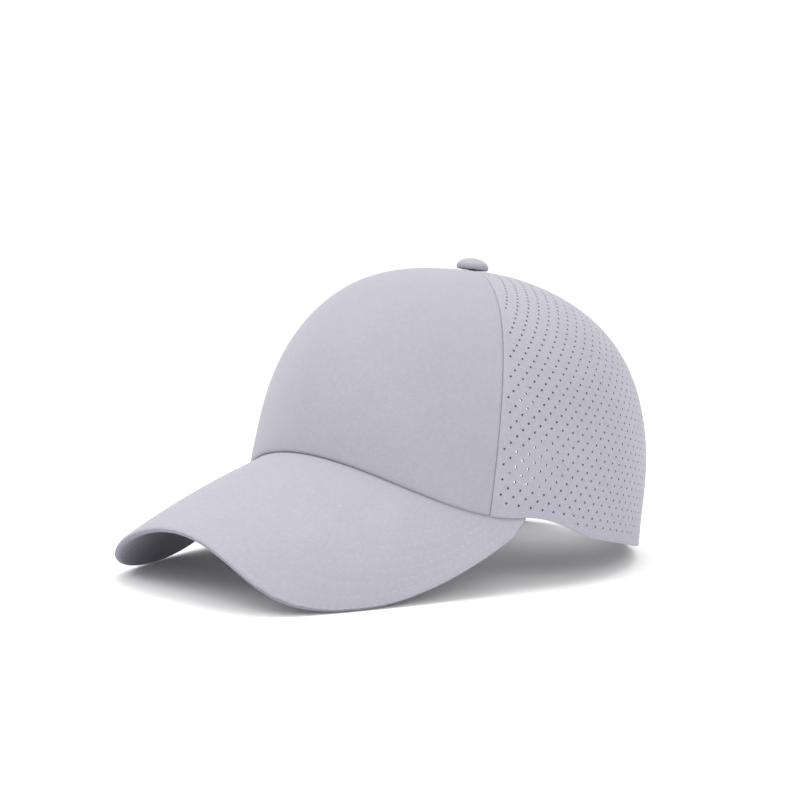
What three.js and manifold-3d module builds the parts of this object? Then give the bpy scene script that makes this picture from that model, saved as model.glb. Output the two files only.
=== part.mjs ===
// Ponytail baseball cap: a smooth front panel, two perforated side panels, a curved brim, a top
// button, two straps that cross in the open back and an elastic band at the nape.
// Units are millimetres, +Z is up, the brim points towards -Y and +X is the wearer's left.
// The crown is first drawn round its own upright axis, then the whole cap is tipped onto the floor.

import * as THREE from "three";
import { mergeVertices } from "three/addons/utils/BufferGeometryUtils.js";
import Module from "manifold-3d";

const wasm = await Module();
wasm.setup();

// Crown, measured on its outer face. It leans back by crownLean over most of its height, and its
// top slopes back through the button by crownSlope; both follow a power of the height. The front's
// shoulder is eased down by crownEase halfway between the rim and the button.
const crownHalfWidth = 86;
const foreheadReach = 100.7;
const napeReach = 96.1;
const crownHeight = 110.8;
const crownLean = 4.8;
const crownLeanPower = 8;
const crownSlope = 0.035;
const crownSlopePower = 3;
const crownEase = 1.7;
const frontWall = 2;
const sideWall = 1.2;
const clearance = 0.3;

// How full the crown is towards each side: rise is the power of the height, fall that of the reach
const crownForm = {
  front: { rise: 2.78, fall: 2.91 },
  side: { rise: 2.77, fall: 2.37 },
  back: { rise: 2.65, fall: 1.94 },
};

// The rim dips by rimDip from the temples to the nape; the front seams stand at seamAngle
const rimDip = 11.6;
const rimLift = -1.2;
const rimBlend = THREE.MathUtils.degToRad(26);
const seamAngle = THREE.MathUtils.degToRad(50.9);

// Rear opening: its greatest half width and a row for each stretch of its edge, from rim to top.
// half is a share of the half width and climb a share of the way from rim level to the button.
const openingHalfWidth = 36;
const openingEdge = [
  { half: 1, climb: -0.07 },
  { half: 0.985, climb: 0.03 },
  { half: 0.955, climb: 0.14 },
  { half: 0.925, climb: 0.24 },
  { half: 0.86, climb: 0.3 },
  { half: 0.795, climb: 0.35 },
  { half: 0.745, climb: 0.41 },
  { half: 0.69, climb: 0.47 },
  { half: 0.6, climb: 0.545 },
  { half: 0.485, climb: 0.63 },
  { half: 0.36, climb: 0.72 },
  { half: 0.27, climb: 0.79 },
  { half: 0.2, climb: 0.84 },
  { half: 0.12, climb: 0.88 },
  { half: 0, climb: 0.905 },
];

// Perforations of the side panels
const holeRadius = 0.55;
const holePitchAround = 21;
const holePitchUp = 14;
const holeMargin = 7;
const hemMargin = 13;
const holeSides = 6;

// Brim: its outline is half a rounded oval with a short tail at each end that runs in to the crown,
// laid on a sheet that bends down to both sides
const brimLength = 71;
const brimHalfArc = 102.8;
const brimCornerBack = 69.3;
const brimOutline = 2.22;
const brimTail = 7.5;
const brimTailInward = 4.2;
const brimTailShare = 0.055;
const brimThickness = 3;
const brimCornerThickness = 2;
const brimPitch = THREE.MathUtils.degToRad(18.2);
const brimBend = 64.4;
const brimTighten = 18.5;
const brimSag = 7.4;
const brimJoinHeight = 24.1;
const brimEndAngle = THREE.MathUtils.degToRad(62);

// Top button with its post and back plate
const buttonRadius = 7.4;
const buttonHeight = 5.4;
const buttonLip = 1.4;
const postRadius = 1.6;
const plateRadius = 4.5;
const plateThickness = 0.8;
const postHole = postRadius + clearance;

// Rear straps
const strapThickness = 1.2;
const strapWidth = 16;
const strapSlope = THREE.MathUtils.degToRad(28.8);
const strapTuck = 10;
const strapGap = 0.45;
const crossHeight = 50.9;
const crossBow = 0.9;
const napeEndTop = 5.8;
const napeNarrowing = 3;
const napeLift = 6.2;
const rimInset = 0.8;

// Facets
const frontFacets = { around: 26, up: 11 };
const sideFacets = { around: 20, openRows: 13, seamRows: 2 };
const brimFacets = { around: 36, out: 7 };
const strapFacets = { along: 22, across: 2 };
const buttonFacets = { around: 20, dome: 4 };

const solverSteps = 60;
const solverStride = 0.4;
const nudge = 1e-3;

function blend(from, to, share) {
  return from + (to - from) * share;
}

function ease(value, from, to) {
  return THREE.MathUtils.smoothstep(value, from, to);
}

// Crown face

function formAt(turn, column) {
  const forward = Math.cos(turn);
  const end = forward > 0 ? crownForm.front : crownForm.back;
  return blend(crownForm.side[column], end[column], forward * forward);
}

function planReach(turn) {
  const depth = Math.cos(turn) > 0 ? foreheadReach : napeReach;
  return 1 / Math.hypot(Math.sin(turn) / crownHalfWidth, Math.cos(turn) / depth);
}

// Share of the plan reach that is left at a share of the height
function reachAt(turn, rise) {
  const left = 1 - Math.max(rise, 0) ** formAt(turn, "rise");
  return Math.max(left, 0) ** (1 / formAt(turn, "fall"));
}

// The climb is the angle seen from the crown's centre: 0 at rim level and a right angle on top
function crownFace(turn, climb) {
  let rise = climb;
  let reach = 1;
  if (climb > 0) {
    let low = 0;
    let high = 2;
    for (let step = 0; step < solverSteps; step += 1) {
      const size = (low + high) / 2;
      const rises = (size * Math.sin(climb)) ** formAt(turn, "rise");
      const falls = Math.abs(size * Math.cos(climb)) ** formAt(turn, "fall");
      if (rises + falls > 1) {
        high = size;
      } else {
        low = size;
      }
    }
    rise = low * Math.sin(climb);
    reach = low * Math.cos(climb);
  }
  const out = planReach(turn) * reach;
  const forward = out * Math.cos(turn);
  const up = Math.max(rise, 0);
  const lean = crownLean * up * (1 - Math.min(up, 1) ** crownLeanPower);
  const slope = crownSlope * forward * up ** crownSlopePower;
  const shoulder = Math.max(Math.cos(turn), 0) ** 2 * Math.max(4 * reach * (1 - reach), 0);
  const height = crownHeight * rise + slope - crownEase * shoulder;
  return new THREE.Vector3(out * Math.sin(turn), lean - forward, height);
}

// A point of the crown at a depth below its outer face
function crownPoint(turn, climb, depth) {
  const around = crownFace(turn + nudge, climb).sub(crownFace(turn - nudge, climb));
  const up = crownFace(turn, climb + nudge).sub(crownFace(turn, climb - nudge));
  const outward = around.cross(up).normalize();
  return crownFace(turn, climb).addScaledVector(outward, -depth);
}

// Heights on the crown are counted before its top slopes back and its shoulder is eased
function climbAtHeight(turn, height) {
  const rise = height / crownHeight;
  return rise > 0 ? Math.atan2(rise, reachAt(turn, rise)) : rise;
}

// The climb where the crown is still a given distance out from its axis
function climbAtReach(turn, out) {
  const reach = out / planReach(turn);
  const rise = (1 - reach ** formAt(turn, "fall")) ** (1 / formAt(turn, "rise"));
  return Math.atan2(rise, reach);
}

// The turn behind the ear where the crown, at a climb, is a given distance from its middle plane
function turnAtSide(climbAt, side) {
  let low = Math.PI / 2;
  let high = Math.PI;
  for (let step = 0; step < solverSteps; step += 1) {
    const turn = (low + high) / 2;
    if (crownFace(turn, climbAt(turn)).x > side) {
      low = turn;
    } else {
      high = turn;
    }
  }
  return high;
}

// Brim sheet

function brimSheet(across, ahead) {
  const radius = brimBend - (brimTighten * ahead) / brimLength;
  const turn = across / radius;
  const sag = brimSag * (ahead / brimLength) * Math.abs(ahead / brimLength);
  const drop = radius * (1 - Math.cos(turn)) + sag;
  const forward = foreheadReach + ahead * Math.cos(brimPitch) + drop * Math.sin(brimPitch);
  const height = brimJoinHeight - ahead * Math.sin(brimPitch) - drop * Math.cos(brimPitch);
  return new THREE.Vector3(radius * Math.sin(turn), -forward, height);
}

function brimPoint(across, ahead, depth) {
  const side = brimSheet(across + nudge, ahead).sub(brimSheet(across - nudge, ahead));
  const front = brimSheet(across, ahead + nudge).sub(brimSheet(across, ahead - nudge));
  const upward = front.cross(side).normalize();
  return brimSheet(across, ahead).addScaledVector(upward, -depth);
}

// Where the crown at one depth meets the brim sheet at another, at a turn round the crown
function crownOnBrim(turn, crownDepth, brimDepth) {
  let height = brimJoinHeight;
  let across = planReach(turn) * Math.sin(turn);
  let ahead = 0;
  for (let step = 0; step < solverSteps * 2; step += 1) {
    const wall = crownPoint(turn, climbAtHeight(turn, height), crownDepth);
    const sheet = brimPoint(across, ahead, brimDepth);
    across += solverStride * (wall.x - sheet.x);
    ahead -= solverStride * (wall.y - sheet.y);
    height += solverStride * (sheet.z - wall.z);
  }
  return { across, ahead, climb: climbAtHeight(turn, height) };
}

// Height of the free rim, level at the temples and dipping to the nape
function rimHeight(turn) {
  return rimLift + rimDip * Math.cos(turn);
}

// The crown's lower edge: it stands on the brim as far as the brim reaches and is free behind it
function lowerClimb(turn, depth) {
  const side = Math.abs(turn);
  const seated = crownOnBrim(Math.min(side, brimEndAngle), depth, -clearance).climb;
  const free = climbAtHeight(side, rimHeight(side));
  return blend(seated, free, ease(side, brimEndAngle, brimEndAngle + rimBlend));
}

// Closed solids

// A sheet of facets with two faces: place(column, row, face) gives each corner, face is 0 or 1
function closedSheet(across, up, place) {
  const box = new THREE.BoxGeometry(1, 1, 1, across, up, 1);
  box.deleteAttribute("normal");
  box.deleteAttribute("uv");
  const geometry = mergeVertices(box);
  const corners = geometry.getAttribute("position");
  for (let index = 0; index < corners.count; index += 1) {
    const corner = new THREE.Vector3().fromBufferAttribute(corners, index).addScalar(0.5);
    const column = Math.round(corner.x * across);
    const point = place(column, Math.round(corner.y * up), Math.round(corner.z));
    corners.setXYZ(index, point.x, point.y, point.z);
  }
  return facesOut(geometry);
}

function facesOut(geometry) {
  const corners = geometry.getAttribute("position");
  const order = geometry.getIndex();
  const [a, b, c] = [new THREE.Vector3(), new THREE.Vector3(), new THREE.Vector3()];
  let volume = 0;
  for (let index = 0; index < order.count; index += 3) {
    a.fromBufferAttribute(corners, order.getX(index));
    b.fromBufferAttribute(corners, order.getX(index + 1));
    c.fromBufferAttribute(corners, order.getX(index + 2));
    volume += a.dot(b.cross(c));
  }
  if (volume < 0) {
    for (let index = 0; index < order.count; index += 3) {
      const second = order.getX(index + 1);
      order.setX(index + 1, order.getX(index + 2));
      order.setX(index + 2, second);
    }
  }
  return geometry;
}

function toSolid(geometry) {
  const vertProperties = new Float32Array(geometry.getAttribute("position").array);
  const triVerts = new Uint32Array(geometry.getIndex().array);
  return new wasm.Manifold(new wasm.Mesh({ numProp: 3, vertProperties, triVerts }));
}

function fromSolid(solid) {
  const mesh = solid.getMesh();
  const geometry = new THREE.BufferGeometry();
  geometry.setAttribute("position", new THREE.BufferAttribute(mesh.vertProperties, 3));
  geometry.setIndex(new THREE.BufferAttribute(mesh.triVerts, 1));
  return geometry;
}

// Front panel: from seam to seam, and from the brim up to the hole for the button's post

function outFromAxis(turn, climb) {
  return Math.max(crownFace(turn, climb).x / Math.sin(turn), postHole);
}

function frontPanel() {
  const { around, up } = frontFacets;
  const depths = [frontWall, 0];
  const turns = Array.from({ length: around + 1 }, (_, column) =>
    blend(-seamAngle, seamAngle, column / around),
  );
  const lows = depths.map((depth) => turns.map((turn) => lowerClimb(turn, depth)));
  return closedSheet(around, up, (column, row, face) => {
    const turn = turns[column];
    const climb = blend(lows[face][column], climbAtReach(turn, postHole), row / up);
    const seam = (clearance / 2) * (turn / seamAngle);
    return crownPoint(turn - seam / outFromAxis(seamAngle, climb), climb, depths[face]);
  });
}

// Rear opening edge: the half width and climb of each row, joined by a smooth curve

function smoothRow(rows, place, column) {
  const last = rows.length - 1;
  const index = Math.min(Math.floor(place * last), last - 1);
  const share = place * last - index;
  const before = rows[Math.max(index - 1, 0)][column];
  const from = rows[index][column];
  const to = rows[index + 1][column];
  const after = rows[Math.min(index + 2, last)][column];
  const slopeFrom = (to - before) / 2;
  const slopeTo = (after - from) / 2;
  const bend = 2 * (from - to) + slopeFrom + slopeTo;
  const swing = 3 * (to - from) - 2 * slopeFrom - slopeTo;
  return from + share * (slopeFrom + share * (swing + share * bend));
}

function openingPlace(share) {
  const half = openingHalfWidth * smoothRow(openingEdge, share, "half");
  const climb = (Math.PI / 2) * smoothRow(openingEdge, share, "climb");
  return { half: Math.max(half, clearance / 2), climb };
}

// The half width of the opening at a climb
function openingHalfAt(climb) {
  let low = 0;
  let high = 1;
  for (let step = 0; step < solverSteps; step += 1) {
    const share = (low + high) / 2;
    if (openingPlace(share).climb < climb) {
      low = share;
    } else {
      high = share;
    }
  }
  return openingPlace(low).half;
}

// Side panels: from the front seam to the rear opening, and above it to the short rear seam

function sidePanelEnd(row) {
  const { openRows, seamRows } = sideFacets;
  let { half, climb } = openingPlace(Math.min(row / openRows, 1));
  if (row > openRows) {
    half = clearance / 2;
    climb = blend(climb, climbAtReach(Math.PI, postHole), (row - openRows) / seamRows);
  }
  return { turn: turnAtSide(() => climb, half), climb };
}

function sidePanelSheet() {
  const { around, openRows, seamRows } = sideFacets;
  const up = openRows + seamRows;
  const depths = [sideWall, 0];
  const ends = Array.from({ length: up + 1 }, (_, row) => sidePanelEnd(row));
  const turnsAt = (row) =>
    Array.from({ length: around + 1 }, (_, column) =>
      blend(seamAngle, ends[row].turn, column / around),
    );
  const lows = depths.map((depth) => turnsAt(0).map((turn) => lowerClimb(turn, depth)));
  const tops = turnsAt(up).map((turn) => climbAtReach(turn, postHole));
  return closedSheet(around, up, (column, row, face) => {
    const along = column / around;
    const rise = row / up;
    const turn = turnsAt(row)[column];
    const first = blend(lows[face][0], tops[0], rise);
    const plain = blend(first, ends[row].climb, along);
    const lowGap = lows[face][column] - blend(lows[face][0], ends[0].climb, along);
    const topGap = tops[column] - blend(tops[0], ends[up].climb, along);
    const climb = plain + lowGap * (1 - rise) ** 2 + topGap * rise ** 2;
    const seamTurn = (clearance / 2 / outFromAxis(seamAngle, climb)) * (1 - along);
    return crownPoint(turn + seamTurn, climb, depths[face]);
  });
}

// Perforations: staggered rows, counted from the middle of the panel and from rim level up

function heightsOfRows(turn) {
  const heights = [];
  let travelled = 0;
  let last = crownFace(turn, 0);
  for (let climb = 0; climb < Math.PI / 2; climb += nudge) {
    const point = crownFace(turn, climb);
    travelled += point.distanceTo(last);
    last = point;
    if (travelled >= holePitchUp * (heights.length + 0.5)) {
      heights.push(point.z);
    }
  }
  return heights;
}

function holeTurns(middle, height, row) {
  const climbAt = (turn) => climbAtHeight(turn, height);
  const end = turnAtSide(climbAt, openingHalfAt(climbAt(Math.PI)));
  const out = outFromAxis(middle, climbAt(middle));
  const step = holePitchAround / out;
  const first = seamAngle + holeMargin / out;
  const last = end - hemMargin / out;
  const stagger = row % 2 === 0 ? 0 : step / 2;
  const turns = [];
  for (let turn = middle + stagger; turn < last; turn += step) {
    turns.push(turn);
  }
  for (let turn = middle + stagger - step; turn > first; turn -= step) {
    turns.push(turn);
  }
  return turns.filter((turn) => height > rimHeight(turn) + holeMargin && turn > first && turn < last);
}

function holePunch(turn, height) {
  const climb = climbAtHeight(turn, height);
  const outer = crownPoint(turn, climb, -sideWall);
  const inner = crownPoint(turn, climb, 2 * sideWall);
  const length = outer.distanceTo(inner);
  const punch = new THREE.CylinderGeometry(holeRadius, holeRadius, length, holeSides);
  punch.deleteAttribute("normal");
  punch.deleteAttribute("uv");
  const upright = new THREE.Vector3(0, 1, 0);
  const direction = outer.clone().sub(inner).normalize();
  punch.applyQuaternion(new THREE.Quaternion().setFromUnitVectors(upright, direction));
  const middle = outer.add(inner).multiplyScalar(0.5);
  punch.translate(middle.x, middle.y, middle.z);
  return toSolid(mergeVertices(punch));
}

function perforatedSheet() {
  const middle = (seamAngle + turnAtSide(() => 0, openingHalfWidth)) / 2;
  let sheet = toSolid(sidePanelSheet());
  heightsOfRows(middle).forEach((height, row) => {
    for (const turn of holeTurns(middle, height, row)) {
      sheet = sheet.subtract(holePunch(turn, height));
    }
  });
  return fromSolid(sheet);
}

function mirrored(geometry) {
  const copy = geometry.clone();
  copy.scale(-1, 1, 1);
  return facesOut(copy);
}

// Brim: its inner edge lies under the crown's wall, its outer edge is a rounded half oval

function brimOuterEdge(share) {
  const along = Math.abs(share) / (1 - brimTailShare);
  const turn = (Math.min(along, 1) * Math.PI) / 2;
  const power = 2 / brimOutline;
  const tail = Math.max(along - 1, 0) * (1 / brimTailShare - 1);
  const side = brimHalfArc * Math.sin(turn) ** power - brimTailInward * tail;
  const ahead = (brimLength + brimCornerBack) * Math.max(Math.cos(turn), 0) ** power;
  return { across: Math.sign(share) * side, ahead: ahead - brimCornerBack - brimTail * tail };
}

function brim() {
  const { around, out } = brimFacets;
  const shares = Array.from({ length: around + 1 }, (_, column) => blend(-1, 1, column / around));
  const thickness = shares.map((share) =>
    blend(brimThickness, brimCornerThickness, ease(Math.abs(share), 0.6, 1)),
  );
  const innerEdge = (depthOf) =>
    shares.map((share, column) =>
      crownOnBrim(share * brimEndAngle, sideWall, depthOf(column)),
    );
  const inner = [innerEdge((column) => thickness[column]), innerEdge(() => 0)];
  return closedSheet(around, out, (column, row, face) => {
    const outer = brimOuterEdge(shares[column]);
    const start = inner[face][column];
    const across = blend(start.across, outer.across, row / out);
    const ahead = blend(start.ahead, outer.ahead, row / out);
    return brimPoint(across, ahead, face === 1 ? 0 : thickness[column]);
  });
}

// Top button: a domed cap, a post through the panels and a back plate below them

function topButton() {
  const plateTop = -frontWall - clearance;
  const profile = [
    [0, plateTop - plateThickness],
    [plateRadius, plateTop - plateThickness],
    [plateRadius, plateTop],
    [postRadius, plateTop],
    [postRadius, clearance],
    [buttonRadius, clearance],
  ];
  const dome = buttonHeight - buttonLip;
  for (let step = 0; step < buttonFacets.dome; step += 1) {
    const turn = (step / buttonFacets.dome) * (Math.PI / 2);
    const height = clearance + buttonLip + dome * Math.sin(turn);
    profile.push([buttonRadius * Math.cos(turn), height]);
  }
  profile.push([0, clearance + buttonHeight]);
  const points = profile.map(([out, height]) => new THREE.Vector2(out, height));
  const lathe = new THREE.LatheGeometry(points, buttonFacets.around);
  lathe.deleteAttribute("normal");
  lathe.deleteAttribute("uv");
  lathe.rotateX(Math.PI / 2 - Math.atan(crownSlope));
  const apex = crownFace(Math.PI, Math.PI / 2);
  lathe.translate(apex.x, apex.y, apex.z);
  return facesOut(mergeVertices(lathe));
}

// Rear straps, drawn as seen from behind: side is the distance from the middle plane

function backPoint(side, height, depth) {
  const climbAt = (turn) => climbAtHeight(turn, height);
  const turn = turnAtSide(climbAt, Math.abs(side));
  const point = crownPoint(turn, climbAt(turn), depth);
  point.x *= Math.sign(side);
  return point;
}

// How far from the middle a strap ends that leaves the crossing with a slope, up or down
function strapReach(slope) {
  let side = openingHalfWidth;
  for (let step = 0; step < solverSteps; step += 1) {
    const height = crossHeight + side * Math.tan(slope);
    side = openingHalfAt(climbAtHeight(Math.PI, height));
  }
  return side + strapTuck * Math.cos(slope);
}

function crossStrap(mirror, extraBow) {
  const { along, across } = strapFacets;
  const upper = strapReach(strapSlope);
  const lower = strapReach(-strapSlope);
  const crossing = strapWidth / 2 / Math.sin(strapSlope);
  return closedSheet(along, across, (column, row, face) => {
    const side = blend(-lower, upper, column / along);
    const offset = strapWidth * (row / across - 0.5);
    const height = crossHeight + side * Math.tan(strapSlope);
    const bow = (crossBow + extraBow) * (1 - ease(Math.abs(side), crossing, lower));
    const depth = sideWall + strapGap + bow + strapThickness * (1 - face);
    const edge = side - offset * Math.sin(strapSlope);
    return backPoint(edge * mirror, height + offset * Math.cos(strapSlope), depth);
  });
}

// Nape band: as high as the panels where it joins them, drawn in and lifted in the middle
function napeStrap() {
  const { along, across } = strapFacets;
  const reach = openingHalfWidth + strapTuck;
  return closedSheet(along, across, (column, row, face) => {
    const side = blend(-reach, reach, column / along);
    const middle = Math.cos((Math.PI / 2) * Math.min(Math.abs(side) / openingHalfWidth, 1)) ** 2;
    const rim = rimHeight(turnAtSide(() => 0, Math.abs(side)));
    const low = rim + rimInset + napeLift * middle;
    const high = napeEndTop - napeNarrowing * middle;
    const depth = sideWall + strapGap + strapThickness * (1 - face);
    return backPoint(side, blend(low, high, row / across), depth);
  });
}

// The cap as separate named pieces

const cloth = { roughness: 0.85, metalness: 0 };
const shell = new THREE.MeshStandardMaterial({ color: 0xbfbdc9, ...cloth });
const perforated = new THREE.MeshStandardMaterial({ color: 0xb7b5c3, ...cloth });
const peak = new THREE.MeshStandardMaterial({ color: 0xc8c6d3, ...cloth });
const webbing = new THREE.MeshStandardMaterial({ color: 0xbbbbc0, ...cloth });
const covered = new THREE.MeshStandardMaterial({ color: 0xb9b8bf, ...cloth });

const left = perforatedSheet();
const brimGeometry = brim();

const pieces = [
  ["front_panel", frontPanel(), shell],
  ["side_panel_left", left, perforated],
  ["side_panel_right", mirrored(left), perforated],
  ["brim", brimGeometry, peak],
  ["top_button", topButton(), covered],
  ["cross_strap_outer", crossStrap(1, 0), webbing],
  ["cross_strap_inner", crossStrap(-1, strapThickness + clearance), webbing],
  ["nape_strap", napeStrap(), webbing],
];

// The cap rests on the brim's two low sides and on the rear rim, so it tips back until both touch

function lowest(geometry, tilt) {
  const corners = geometry.getAttribute("position");
  let height = Infinity;
  for (let index = 0; index < corners.count; index += 1) {
    const rise = corners.getZ(index) * Math.cos(tilt) - corners.getY(index) * Math.sin(tilt);
    height = Math.min(height, rise);
  }
  return height;
}

function restingTilt() {
  let low = -Math.PI / 4;
  let high = Math.PI / 4;
  for (let step = 0; step < solverSteps; step += 1) {
    const tilt = (low + high) / 2;
    if (lowest(brimGeometry, tilt) < lowest(left, tilt)) {
      low = tilt;
    } else {
      high = tilt;
    }
  }
  return low;
}

const tilt = restingTilt();
const cap = new THREE.Group();
cap.rotation.x = -tilt;
for (const [name, geometry, material] of pieces) {
  geometry.computeVertexNormals();
  const mesh = new THREE.Mesh(geometry, material);
  mesh.name = name;
  cap.add(mesh);
}

const bounds = new THREE.Box3().setFromObject(cap, true);
cap.position.y = -(bounds.min.y + bounds.max.y) / 2;
cap.position.z = -bounds.min.z;

const group = new THREE.Group();
group.add(cap);
group.updateMatrixWorld(true);

export default group;
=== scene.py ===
# %% [markdown]
# # A ponytail baseball cap
# The real object is a soft cap of light polyester cloth. It has a smooth front panel, two side
# panels punched with rows of small holes, a curved brim, a button on top and an open back that is
# held together by two crossed elastic straps and an elastic band at the nape.
# The solids of the cap are already made. Here each one gets a finer piece of cloth in its place:
# the seams are rolled, the hems are stitched and every hole is cut.

# %% Frame
import math

import bmesh
import bpy
import numpy as np
from mathutils import Matrix, Vector
from mathutils.bvhtree import BVHTree
from mathutils.interpolate import poly_3d_calc


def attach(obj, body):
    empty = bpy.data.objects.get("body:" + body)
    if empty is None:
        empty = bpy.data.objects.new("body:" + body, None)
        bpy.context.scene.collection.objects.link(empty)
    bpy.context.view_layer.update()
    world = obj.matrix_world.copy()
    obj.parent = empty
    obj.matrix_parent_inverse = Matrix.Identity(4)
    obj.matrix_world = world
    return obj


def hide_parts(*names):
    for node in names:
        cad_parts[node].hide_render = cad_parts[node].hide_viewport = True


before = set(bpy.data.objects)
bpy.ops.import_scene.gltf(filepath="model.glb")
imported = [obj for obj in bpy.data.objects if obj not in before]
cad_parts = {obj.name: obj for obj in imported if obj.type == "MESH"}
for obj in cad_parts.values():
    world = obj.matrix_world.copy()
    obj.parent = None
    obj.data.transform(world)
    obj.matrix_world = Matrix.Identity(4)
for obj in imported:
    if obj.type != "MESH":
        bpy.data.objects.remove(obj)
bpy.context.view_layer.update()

print("nodes:", sorted(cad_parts))

# %% [markdown]
# ## The crown as a formula
# Crown cloth could be shaped by pulling a sphere about by hand, but then the panels would not meet
# along their seams. One formula for the whole crown keeps them in line: a point is given by its
# turn round the head and by its climb from the rim to the button. Sizes are in millimetres.

# %% Crown face
crown_half_width = 86
forehead_reach = 100.7
nape_reach = 96.1
crown_height = 110.8
crown_lean = 4.8
lean_power = 8
crown_slope = 0.035
slope_power = 3
crown_ease = 1.7
rise_power = {"front": 2.78, "side": 2.77, "back": 2.65}
fall_power = {"front": 2.91, "side": 2.37, "back": 1.94}


def form_at(turn, powers):
    forward = np.cos(turn)
    end = np.where(forward > 0, powers["front"], powers["back"])
    return powers["side"] + (end - powers["side"]) * forward**2


def plan_reach(turn):
    depth = np.where(np.cos(turn) > 0, forehead_reach, nape_reach)
    return 1 / np.hypot(np.sin(turn) / crown_half_width, np.cos(turn) / depth)


def crown_face(turn, climb):
    turn, climb = np.broadcast_arrays(turn, climb)
    rises, falls = form_at(turn, rise_power), form_at(turn, fall_power)
    sine, cosine = np.sin(np.maximum(climb, 0)), np.cos(climb)
    low, high = np.zeros(climb.shape), np.full(climb.shape, 2.0)
    for _ in range(36):
        size = (low + high) / 2
        outside = (size * sine) ** rises + np.abs(size * cosine) ** falls > 1
        low, high = np.where(outside, low, size), np.where(outside, size, high)
    rise = np.where(climb > 0, low * sine, climb)
    reach = np.where(climb > 0, low * cosine, 1)
    out = plan_reach(turn) * reach
    forward = out * np.cos(turn)
    up = np.maximum(rise, 0)
    lean = crown_lean * up * (1 - np.minimum(up, 1) ** lean_power)
    shoulder = np.maximum(np.cos(turn), 0) ** 2 * np.maximum(4 * reach * (1 - reach), 0)
    height = crown_height * rise + crown_slope * forward * up**slope_power
    height = height - crown_ease * shoulder
    return np.stack([out * np.sin(turn), lean - forward, height], -1)


def crown_outward(turn, climb):
    nudge = 1e-3
    around = crown_face(turn + nudge, climb) - crown_face(turn - nudge, climb)
    upward = crown_face(turn, climb + nudge) - crown_face(turn, climb - nudge)
    outward = np.cross(around, upward)
    return outward / np.linalg.norm(outward, axis=-1, keepdims=True)


def crown_point(turn, climb, depth):
    return crown_face(turn, climb) - crown_outward(turn, climb) * np.asarray(depth)[..., None]


def climb_at_height(turn, height):
    rise = np.asarray(height / crown_height)
    up = np.clip(rise, 0, 1)
    reach = (1 - up ** form_at(turn, rise_power)) ** (1 / form_at(turn, fall_power))
    return np.where(rise > 0, np.arctan2(up, reach), rise)


def climb_at_reach(turn, out):
    reach = out / plan_reach(turn)
    rise = (1 - reach ** form_at(turn, fall_power)) ** (1 / form_at(turn, rise_power))
    return np.arctan2(rise, reach)


def turn_at_side(climb_of, side):
    """The turn behind the ear where the crown is a given distance from its middle plane."""
    low, high = np.full(np.shape(side), math.pi / 2), np.full(np.shape(side), math.pi)
    for _ in range(40):
        turn = (low + high) / 2
        wide = crown_face(turn, climb_of(turn))[..., 0] > side
        low, high = np.where(wide, turn, low), np.where(wide, high, turn)
    return high


# %% [markdown]
# ## The brim as a formula
# A brim is a stiff sheet that was cut flat and then bent. Its points are given by how far they lie
# across and ahead on the flat sheet, so its stitch rows stay true to the cut. The crown stands on
# this sheet, and a few rounds of correction find the line where the two meet.

# %% Brim sheet
brim_length = 71
brim_half_arc = 102.8
brim_corner_back = 69.3
brim_outline = 2.22
brim_tail = 7.5
brim_tail_inward = 4.2
brim_tail_share = 0.055
brim_thickness = 3
brim_corner_thickness = 2
brim_pitch = math.radians(18.2)
brim_bend = 64.4
brim_tighten = 18.5
brim_sag = 7.4
brim_join_height = 24.1
brim_end_angle = math.radians(62)
clearance = 0.3


def brim_sheet(across, ahead):
    radius = brim_bend - brim_tighten * ahead / brim_length
    turn = across / radius
    sag = brim_sag * (ahead / brim_length) * np.abs(ahead / brim_length)
    drop = radius * (1 - np.cos(turn)) + sag
    forward = forehead_reach + ahead * math.cos(brim_pitch) + drop * math.sin(brim_pitch)
    height = brim_join_height - ahead * math.sin(brim_pitch) - drop * math.cos(brim_pitch)
    return np.stack([radius * np.sin(turn), -forward, height], -1)


def brim_point(across, ahead, depth):
    nudge = 1e-3
    side = brim_sheet(across + nudge, ahead) - brim_sheet(across - nudge, ahead)
    front = brim_sheet(across, ahead + nudge) - brim_sheet(across, ahead - nudge)
    upward = np.cross(front, side)
    upward /= np.linalg.norm(upward, axis=-1, keepdims=True)
    return brim_sheet(across, ahead) - upward * np.asarray(depth)[..., None], upward


def crown_on_brim(turn, crown_depth, brim_depth):
    height = np.full(turn.shape, float(brim_join_height))
    across, ahead = plan_reach(turn) * np.sin(turn), np.zeros(turn.shape)
    for _ in range(70):
        wall = crown_point(turn, climb_at_height(turn, height), crown_depth)
        sheet = brim_point(across, ahead, brim_depth)[0]
        across = across + 0.4 * (wall[:, 0] - sheet[:, 0])
        ahead = ahead - 0.4 * (wall[:, 1] - sheet[:, 1])
        height = height + 0.4 * (sheet[:, 2] - wall[:, 2])
    return across, ahead, climb_at_height(turn, height)


# %% [markdown]
# ## Rim, seams and rear opening
# The rim follows the brim as far as the temples and then dips to the nape. The rear opening is a
# drop shape. A short table of its half widths, joined by a smooth curve, is easier to compare with
# a real cap than a formula would be.

# %% Edges
rim_dip = 11.6
rim_lift = -1.2
rim_blend = math.radians(26)
seam_angle = math.radians(50.9)
opening_half_width = 36
opening_rows = np.array([
    (1, -0.07), (0.985, 0.03), (0.955, 0.14), (0.925, 0.24), (0.86, 0.3), (0.795, 0.35),
    (0.745, 0.41), (0.69, 0.47), (0.6, 0.545), (0.485, 0.63), (0.36, 0.72), (0.27, 0.79),
    (0.2, 0.84), (0.12, 0.88), (0, 0.905),
])
post_hole = 1.9


def ease(value, start, end):
    share = np.clip((value - start) / (end - start), 0, 1)
    return share * share * (3 - 2 * share)


def rim_height(turn):
    return rim_lift + rim_dip * np.cos(turn)


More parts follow.
